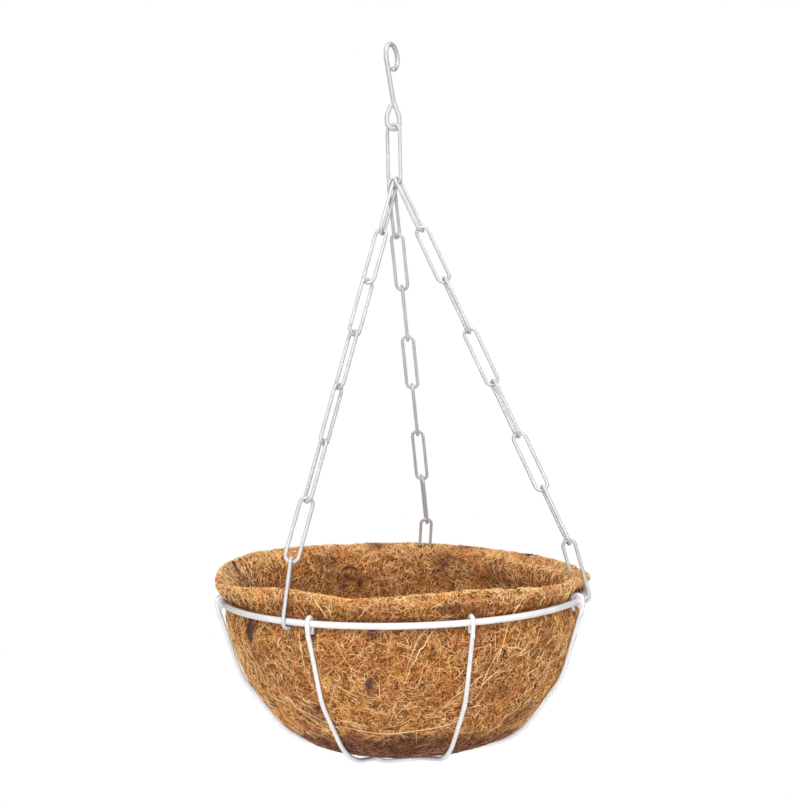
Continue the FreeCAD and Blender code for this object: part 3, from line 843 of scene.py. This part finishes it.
def stain_and_ring_shade_field(pts):
    """Dark patches where husk and bark lie in the mat: (centre, size, strength), mm; then a darker band round the foot
    and a painted shade line along the ring.
    """
    spots = [
        ((-114.0, -89.0, -13.0), (5.5, 6.5, 9.5), 0.80), ((-110.0, -88.0, -30.0), (5.0, 6.0, 14.0), 0.35),
        ((-21.9, -142.0, -6.7), (4.6, 6.0, 2.6), 0.9), ((-25.4, -134.0, -45.2), (2.6, 6.0, 3.6), 1.0),
        ((34.1, -145.0, 9.8), (6.4, 8.0, 4.4), 0.85), ((19.4, -142.0, -21.0), (1.9, 5.0, 1.9), 0.95),
        ((68.4, -114.0, -54.3), (8.0, 9.0, 8.0), 0.45), ((60.0, -126.0, -34.0), (5.0, 6.0, 6.0), 0.35),
        ((-68.0, -102.0, -71.0), (9.0, 9.0, 7.0), 0.5), ((-88.9, -118.0, 8.0), (15.0, 12.0, 4.0), 0.5),
        ((86.0, -74.0, -82.0), (16.0, 16.0, 10.0), 0.6), ((52.0, -136.0, 9.0), (8.0, 8.0, 3.2), 0.5),
        ((-40.0, -140.0, 7.0), (9.0, 8.0, 2.6), 0.4), ((104.0, -98.0, -16.0), (5.0, 6.0, 10.0), 0.3),
        # inside the back wall
        ((-57.0, 121.0, -14.0), (3.4, 14.0, 6.0), 0.9), ((-49.5, 124.0, -7.5), (6.5, 12.0, 3.0), 0.9), ((-41.0, 127.0, -13.0), (3.0, 12.0, 5.0), 0.9),
        ((-135.7, 27.0, 8.0), (6.0, 4.0, 8.0), 0.75), ((37.9, 130.0, 3.6), (10.0, 12.0, 11.0), 0.6), ((-70.3, 119.0, 8.0), (9.0, 10.0, 8.0), 0.5),
        ((63.4, 130.0, 19.1), (12.0, 12.0, 2.4), 0.8), ((-24.0, 143.0, 20.0), (9.0, 8.0, 2.4), 0.7), ((112.0, 90.0, 17.5), (10.0, 12.0, 3.4), 0.75),
        ((84.0, 102.0, -6.0), (12.0, 12.0, 8.0), 0.4), ((0.0, 60.0, -110.0), (34.0, 24.0, 12.0), 0.4),
        # round the back, outside
        ((-60.0, 128.0, -30.0), (7.0, 7.0, 9.0), 0.6), ((30.0, 140.0, -22.0), (5.0, 6.0, 5.0), 0.8), ((104.0, 92.0, -40.0), (9.0, 9.0, 12.0), 0.45),
        ((-120.0, 66.0, -24.0), (6.0, 7.0, 6.0), 0.7), ((-8.0, 118.0, -74.0), (12.0, 8.0, 8.0), 0.5), ((132.0, 40.0, -36.0), (6.0, 9.0, 5.0), 0.6),
    ]
    out = np.zeros(len(pts))
    for c, s, k in spots:
        d = ((pts - np.array(c)) / np.array(s)) ** 2
        out = np.maximum(out, k * np.exp(-d.sum(1) * 0.7))
    # the foot of the bowl is darker, in an uneven band
    ring = fbm(pts * A3(1, 1, 1.6), 0.05, 3, 7)
    z = pts[:, 2]
    rr = np.hypot(pts[:, 0], pts[:, 1])
    half_way = np.interp(z, [-127, -122, -117.5, -113, -107, -100, -92, -80, -60, -40], [-1, 12, 40, 66, 83, 94, 101, 111, 125, 133])
    outside = (rr > half_way) | (z < -121.5)
    away = np.abs((np.degrees(np.arctan2(pts[:, 1], pts[:, 0])) - 268 + 180) % 360 - 180)
    low = np.clip((-84.5 + 11 * ring - 9.0 * np.clip((away - 22) / 40.0, 0, 1) - z) / 10.0, 0, 1)
    out = np.maximum(out, low * (1.0 - 0.8 * np.clip(fbm(pts * A3(1.3, 1.3, 1), 0.09, 2, 17) - 0.08, 0, 0.5)) * outside)
    # painted shade line where the mat passes under the ring, just above and below it
    ring_shade_line = np.exp(-((z - 3.0) / 2.2) ** 2) * (rr > 140.5) * 0.6 + np.exp(-((z + 4.6) / 2.0) ** 2) * (rr > 140.5) * 0.3
    return np.maximum(out, ring_shade_line)


pts_mm = LV - DROP
ragged = fbm(pts_mm, 0.16, 3, 11)
# stains, the darker foot band and the painted shade line along the ring
attribute(liner, "stain_and_ring_shade", np.clip(stain_and_ring_shade_field(pts_mm) * (0.85 + 0.9 * ragged), 0, 1))
rad_mm = np.hypot(pts_mm[:, 0], pts_mm[:, 1])
bear = np.degrees(np.arctan2(pts_mm[:, 1], pts_mm[:, 0])) % 360
cz = ring_curve(CREST, bear)
fl = ring_curve(FLARE, bear)
# pale band along the crest of the lip: lighter cut fibres and a painted highlight on the top edge
pale_crest_highlight = np.exp(-((pts_mm[:, 2] - cz) / 2.2) ** 2) * np.exp(-((rad_mm - (fl - 5.5)) / 6.5) ** 2) * (pts_mm[:, 2] > 5)
attribute(liner, "pale_crest_highlight", np.clip(pale_crest_highlight * (0.9 + 0.8 * ragged), 0, 1))
liner.data.materials.append(COIR)
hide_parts("coco_liner")
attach(liner, "basket")

# ------------------------------------------------------------ loose strands
GN = grid_normals(P)
VLEN = UV[0, -1, 1]


def on_mat(u, v):
    """Bilinear look-up of place and normal; u in laps 0..1, v in 0..1."""
    x = (u % 1.0) * NU
    y = np.clip(v, 0.004, 0.996) * (NV - 1)
    i0 = np.floor(x).astype(int) % NU
    i1 = (i0 + 1) % NU
    fx = (x - np.floor(x))[:, None]
    j0 = np.clip(np.floor(y).astype(int), 0, NV - 2)
    fy = (y - j0)[:, None]
    def look(G):
        return (G[i0, j0] * (1 - fx) + G[i1, j0] * fx) * (1 - fy) + (G[i0, j0 + 1] * (1 - fx) + G[i1, j0 + 1] * fx) * fy
    n = look(GN)
    n /= np.linalg.norm(n, axis=1)[:, None] + 1e-9
    return look(P), n


def strands(name, count, v_range, length, thick, lift, seed, curl=0.16, tone=(0.35, 0.95), stand=0.0, u_range=(0, 1)):
    """Loose fibres laid over the mat between two section positions, in mm."""
    rng = np.random.default_rng(seed)
    npt = 9
    u = rng.uniform(*u_range, count)
    # even cover by area: more strands where the radius is large
    v = rng.uniform(*v_range, count * 3)
    rr = np.interp(v, np.linspace(0, 1, NV), PR0[:, 0])
    keep = rng.random(count * 3) < rr / 152.0
    v = v[keep][:count]
    while len(v) < count:
        v = np.concatenate([v, v])[:count]
    head = rng.uniform(0, 2 * math.pi, count)
    ln = rng.gamma(3.0, length / 3.0, count).clip(length * 0.3, length * 2.6)
    step = ln / (npt - 1)
    turn = rng.normal(0, curl, count)
    th = rng.uniform(thick * 0.6, thick * 1.5, count)
    hi = rng.uniform(0.15, 1.0, count) * lift
    up = rng.random(count) < stand
    tn = rng.uniform(*tone, count)
    pts = np.zeros((count, npt, 3))
    nor = np.zeros((count, npt, 3))
    for k in range(npt):
        p, n = on_mat(u, v)
        t = k / (npt - 1)
        h = hi * math.sin(math.pi * t) ** 0.7 - 0.15
        h = h + up * (t ** 2) * lift * rng.uniform(2.0, 5.0, count)
        pts[:, k] = p + n * h[:, None]
        nor[:, k] = n
        r = np.hypot(p[:, 0], p[:, 1]).clip(6.0)
        u = u + np.cos(head) * step / (2 * math.pi * r)
        v = v + np.sin(head) * step / VLEN
        turn = turn * 0.9 + rng.normal(0, curl * 0.6, count)
        head = head + turn
    # keep off the wires
    from mathutils.kdtree import KDTree
    kd = KDTree(len(wire_pts))
    for i, q in enumerate(wire_pts):
        kd.insert(q, i)
    kd.balance()
    near = np.zeros(count, bool)
    for i in range(count):
        for k in range(0, npt, 2):
            q, idx, d = kd.find(pts[i, k])
            if d < wire_rad[idx] + 0.55:
                near[i] = True
                break
    pts, nor, th, tn = pts[~near], nor[~near], th[~near], tn[~near]
    count = len(pts)
    tan = np.gradient(pts, axis=1)
    tan /= np.linalg.norm(tan, axis=2)[:, :, None] + 1e-9
    side = np.cross(tan, nor)
    side /= np.linalg.norm(side, axis=2)[:, :, None] + 1e-9
    up_ = np.cross(side, tan)
    taper = np.sin(np.linspace(0.12, math.pi - 0.12, npt)) ** 0.4
    rad = th[:, None] * taper[None, :]
    ring = []
    for a in (math.pi / 2, math.pi / 2 + 2.094, math.pi / 2 + 4.189):
        ring.append(pts + rad[:, :, None] * (math.cos(a) * side + math.sin(a) * up_))
    V = np.stack(ring, 2).reshape(-1, 3) + DROP          # count*npt*3
    base = (np.arange(count)[:, None, None] * npt + np.arange(npt - 1)[None, :, None]) * 3
    k = np.arange(3)[None, None, :]
    kn = (k + 1) % 3
    q = np.stack([base + k, base + kn, base + 3 + kn, base + 3 + k], 3).reshape(-1, 4)
    e0 = np.arange(count)[:, None] * npt * 3
    c0 = e0 + np.array([[2, 1, 0]])
    c1 = e0 + (npt - 1) * 3 + np.array([[0, 1, 2]])
    loops = np.concatenate([q.ravel(), c0.ravel(), c1.ravel()])
    sizes = np.concatenate([np.full(len(q), 4), np.full(2 * count, 3)])
    ob = new_mesh(name, V * MM, loops, sizes=sizes)
    attribute(ob, "tone", np.repeat(tn, npt * 3))
    # the same stains, foot band and painted ring shade as on the mat under the strand
    st = stain_and_ring_shade_field(pts.reshape(-1, 3))
    attribute(ob, "stain_and_ring_shade", np.repeat(np.clip(st * 1.25, 0, 1), 3))
    ob.data.materials.append(STRAND)
    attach(ob, "basket")
    return ob


V_NECK = 0.395      # share of the section where the outside passes the ring
sarr = np.linspace(0, 1, NV)
prof_z = PR0[:, 1]
v_ring = float(sarr[np.argmax((prof_z > 0.0))])
v_crest = float(sarr[np.argmax(prof_z)])
OUTSIDE, LIP, CREST_V, INSIDE = (0.0, v_ring), (v_ring + 0.015, v_crest + 0.02), (v_crest - 0.025, v_crest + 0.02), (v_crest, 0.995)
for k in range(5):
    strands("coir_outside_short_%d" % (k + 1), 4300, OUTSIDE, 7.4, 0.29, 0.35, 21 + k, curl=0.36, tone=(0.14, 0.94))
    strands("coir_inside_short_%d" % (k + 1), 4000, INSIDE, 7.4, 0.30, 0.35, 31 + k, curl=0.36, tone=(0.24, 0.98))
strands("coir_lip_short_1", 4300, LIP, 6.0, 0.29, 0.4, 41, curl=0.45, tone=(0.2, 0.95))
strands("coir_lip_short_2", 2400, CREST_V, 6.0, 0.24, 0.4, 42, curl=0.4, tone=(0.5, 1.0), stand=0.08)
strands("coir_outside_light", 1900, OUTSIDE, 13.0, 0.27, 0.5, 51, curl=0.11, tone=(0.62, 1.0))
strands("coir_inside_light", 1700, INSIDE, 13.0, 0.27, 0.5, 52, curl=0.11, tone=(0.60, 1.0))
strands("coir_lip_light", 900, LIP, 11.0, 0.24, 0.5, 53, curl=0.11, tone=(0.66, 1.0), stand=0.05)
strands("coir_long", 60, (0.1, v_ring), 36.0, 0.34, 0.7, 54, curl=0.07, tone=(0.80, 1.0))


def place(deg_, z, inside=False):
    """Section position of a height on the mat's outside or inside face."""
    zz = prof_z
    jc = int(v_crest * (NV - 1))
    js = np.arange(jc, NV) if inside else np.arange(0, int(v_ring * (NV - 1)) + 14)
    j = js[np.argmin(abs(zz[js] - z))]
    return deg_ / 360.0, j / (NV - 1)


def flake(name, deg_, z, length, width, tilt, seed, inside=False, bow=0.0):
    """A sliver of husk pressed into the mat: a thin curved plate, frayed ends."""
    rng = np.random.default_rng(seed)
    nl, nw = 15, 5
    u0, v0 = place(deg_, z, inside)
    a = math.radians(tilt)
    s_ = np.linspace(-0.5, 0.5, nl)
    top, bot = np.zeros((nl, nw, 3)), np.zeros((nl, nw, 3))
    edge = 0.5 * width * (1 - abs(2 * s_) ** 3.0) ** 0.6 * (1 + 0.25 * rng.normal(0, 1, nl))
    edge = np.maximum(edge, 0.12 * width)
    for i in range(nl):
        for k in range(nw):
            w = (k / (nw - 1) * 2 - 1) * edge[i]
            dl = s_[i] * length
            dw = w + bow * length * (4 * s_[i] ** 2 - 1)
            x = dl * math.cos(a) - dw * math.sin(a)
            y = dl * math.sin(a) + dw * math.cos(a)
            r = max(10.0, float(np.hypot(*on_mat(np.array([u0]), np.array([v0]))[0][0, :2])))
            p, n = on_mat(np.array([u0 + x / (2 * math.pi * r)]), np.array([v0 + y / VLEN]))
            rise = 0.95 * (1 - (2 * abs(s_[i])) ** 4) - 0.1 + 0.12 * rng.normal()
            top[i, k] = p[0] + n[0] * rise
            bot[i, k] = p[0] - n[0] * 0.5
    V = np.concatenate([top.reshape(-1, 3), bot.reshape(-1, 3)]) + DROP
    off = nl * nw
    F = []
    for i in range(nl - 1):
        for k in range(nw - 1):
            q = [i * nw + k, (i + 1) * nw + k, (i + 1) * nw + k + 1, i * nw + k + 1]
            F.append(q)
            F.append([off + x for x in q[::-1]])
    rim = [i * nw for i in range(nl)] + [(nl - 1) * nw + k for k in range(1, nw)] + [i * nw + nw - 1 for i in range(nl - 2, -1, -1)] + [k for k in range(nw - 2, 0, -1)]
    for p, q in zip(rim, rim[1:] + rim[:1]):
        F.append([p, off + p, off + q, q])
    ob = new_mesh(name, V * MM, np.array(F))
    ob.data.materials.append(BARK)
    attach(ob, "basket")
    return ob


def laid(name, pts_, thick, tone_, seed):
    """One long strand laid along given bearings and heights on the outside."""
    rng = np.random.default_rng(seed)
    uv = np.array([place(a_, z_) for a_, z_ in pts_])
    t_ = np.linspace(0, 1, len(uv))
    f_ = np.linspace(0, 1, 48)
    u_ = np.interp(f_, t_, uv[:, 0]) + 0.0006 * np.convolve(rng.normal(0, 1, 56), np.ones(9) / 3, "valid")
    v_ = np.interp(f_, t_, uv[:, 1]) + 0.0006 * np.convolve(rng.normal(0, 1, 56), np.ones(9) / 3, "valid")
    p, n = on_mat(u_, v_)
    p = p + n * (0.55 * np.sin(np.pi * f_) ** 0.4 - 0.1)[:, None]
    ob = wire(name, p + DROP, thick, False, 6, seed=seed, rough=0.12, extra=np.sin(np.linspace(0.25, math.pi - 0.25, 48)) ** 0.4)
    attribute(ob, "tone", np.full(len(ob.data.vertices), tone_))
    ob.data.materials.append(STRAND)
    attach(ob, "basket")


laid("coir_laid_1", [(240.5, -84.5), (246, -83), (252, -82.4), (258, -84), (264, -85), (270, -84.5), (277, -82.5), (285, -81), (292, -77)], 0.36, 0.97, 5)
laid("coir_laid_2", [(277.6, -10.5), (275.4, -18), (273.6, -25), (271.4, -34), (269.6, -46)], 0.40, 1.0, 6)
laid("coir_laid_3", [(276.6, -30), (275.2, -38), (273.4, -50)], 0.34, 0.95, 7)
laid("coir_laid_4", [(250, -14), (252.4, -24), (254.5, -33), (256, -40)], 0.30, 0.9, 8)
laid("coir_laid_5", [(294, -44), (289, -52), (284, -62), (281, -70)], 0.32, 0.92, 9)
laid("coir_laid_6", [(60, -20), (66, -36), (74, -50), (84, -58)], 0.36, 0.96, 10)
laid("coir_laid_7", [(130, -60), (140, -64), (152, -62), (160, -56)], 0.36, 0.96, 12)
laid("coir_laid_8", [(5, -50), (14, -40), (20, -28)], 0.34, 0.94, 13)

FLAKES = [(218.0, -15.0, 25.0, 7.4, 84, False, 0.0), (259.2, -45.0, 6.5, 3.6, 60, False, 0.0), (261.2, -7.2, 8.0, 2.6, 4, False, 0.05),
          (283.5, 9.5, 9.0, 3.2, 24, False, 0.0), (277.8, -21.0, 2.6, 2.0, 20, False, 0.0), (111.7, -9.5, 19.0, 2.4, 0, True, 0.34),
          (168.7, 8.0, 13.0, 3.0, 80, True, 0.0), (73.0, 0.0, 7.0, 2.6, 40, True, 0.0), (38.5, 16.0, 9.0, 2.6, 10, True, 0.0),
          (20.0, -34.0, 12.0, 3.4, 70, False, 0.0), (78.0, -22.0, 9.0, 3.0, 30, False, 0.1), (115.0, -30.0, 14.0, 3.6, 110, False, 0.0),
          (151.0, -24.0, 8.0, 3.0, 15, False, 0.0), (318.0, -60.0, 7.0, 2.6, 140, False, 0.0), (240.0, -68.0, 6.0, 2.2, 35, False, 0.0),
          (300.0, -30.0, 4.5, 1.8, 75, False, 0.0), (140.0, -50.0, 10.0, 2.8, 50, True, 0.0), (210.0, -40.0, 9.0, 2.8, 120, True, 0.0),
          (330.0, -35.0, 12.0, 3.0, 65, True, 0.0), (265.0, -60.0, 8.0, 2.6, 20, True, 0.0), (25.0, -70.0, 9.0, 3.0, 95, True, 0.0)]
for k, (d_, z_, l_, w_, t_, in_, b_) in enumerate(FLAKES):
    flake("husk_flake_%02d" % (k + 1), d_, z_, l_, w_, t_, 700 + k, in_, b_)

# ----------------------------------------------------------- camera, light
cam_data = bpy.data.cameras.new("camera")
cam_data.lens = 49.99
cam_data.sensor_width = 36.0
cam = bpy.data.objects.new("camera", cam_data)
scene.collection.objects.link(cam)
right = A3(0.999774, 0.000077, -0.021248)
up = A3(0.021248, -0.003628, 0.999768)
fwd = np.cross(up, right)
yaw = 2.254 / 1115.0
fwd2 = unit(fwd + right * yaw)
right2 = unit(np.cross(fwd2, up))
up2 = np.cross(right2, fwd2)
M = Matrix(((right2[0], up2[0], -fwd2[0], 0.0), (right2[1], up2[1], -fwd2[1], 0.0), (right2[2], up2[2], -fwd2[2], 0.0), (0, 0, 0, 1)))
cam.matrix_world = Matrix.Translation(Vector((0.0, -0.91955, (152.59 - 448.7) * MM))) @ M
cam_data.clip_start = 0.01
cam_data.clip_end = 50.0
scene.camera = cam

world = bpy.data.worlds.new("world")
scene.world = world
world.use_nodes = True
wn = world.node_tree
for n in list(wn.nodes):
    wn.nodes.remove(n)
wo = wn.nodes.new("ShaderNodeOutputWorld")
bg_see = wn.nodes.new("ShaderNodeBackground")
bg_see.inputs[0].default_value = (1, 1, 1, 1)
bg_see.inputs[1].default_value = 1.0
bg_lit = wn.nodes.new("ShaderNodeBackground")
bg_lit.inputs[0].default_value = (1.0, 1.0, 1.0, 1)
bg_lit.inputs[1].default_value = 0.07
lp = wn.nodes.new("ShaderNodeLightPath")
mx = wn.nodes.new("ShaderNodeMixShader")
wn.links.new(lp.outputs["Is Camera Ray"], mx.inputs[0])
wn.links.new(bg_lit.outputs[0], mx.inputs[1])
wn.links.new(bg_see.outputs[0], mx.inputs[2])
wn.links.new(mx.outputs[0], wo.inputs[0])


def area(name, loc, target, size, power, color=(1, 1, 1)):
    d = bpy.data.lights.new(name, "AREA")
    d.shape = "DISK"
    d.size = size
    d.energy = power
    d.color = color
    o = bpy.data.objects.new(name, d)
    o.location = loc
    o.rotation_mode = "QUATERNION"
    o.rotation_quaternion = (Vector(target) - Vector(loc)).to_track_quat("-Z", "Y")
    scene.collection.objects.link(o)
    return o


centre = (0.0, 0.0, -0.33)
area("front", (-0.25, -3.2, -0.05), centre, 0.8, 51.0, (1.0, 0.995, 0.985))
area("key", (-1.7, -2.7, 1.7), centre, 0.9, 28.0, (1.0, 0.985, 0.96))
area("top", (0.0, -1.3, 2.6), centre, 1.0, 56.0)
area("side", (1.9, -2.0, 2.0), centre, 1.0, 31.0)
area("back", (0.8, 3.0, 0.9), centre, 1.2, 18.0)

floor_me = bpy.data.meshes.new("floor")
s = 4.0
zf = CAD_LO.z - 0.28
floor_me.from_pydata([(-s, -s, zf), (s, -s, zf), (s, s, zf), (-s, s, zf)], [], [(0, 1, 2, 3)])
floor = bpy.data.objects.new("floor", floor_me)
scene.collection.objects.link(floor)
fm, fnt, fb = nodes_of("pale_floor")
fb.inputs["Base Color"].default_value = (0.93, 0.93, 0.93, 1)
fb.inputs["Roughness"].default_value = 0.9
fe = fnt.nodes.new("ShaderNodeEmission")
fe.inputs[1].default_value = 1.0
flp = fnt.nodes.new("ShaderNodeLightPath")
fmx = fnt.nodes.new("ShaderNodeMixShader")
fnt.links.new(flp.outputs["Is Camera Ray"], fmx.inputs[0])
fnt.links.new(fb.outputs[0], fmx.inputs[1])
fnt.links.new(fe.outputs[0], fmx.inputs[2])
fnt.links.new(fmx.outputs[0], [n for n in fnt.nodes if n.type == "OUTPUT_MATERIAL"][0].inputs[0])
floor_me.materials.append(fm)

scene.view_settings.view_transform = "Standard"
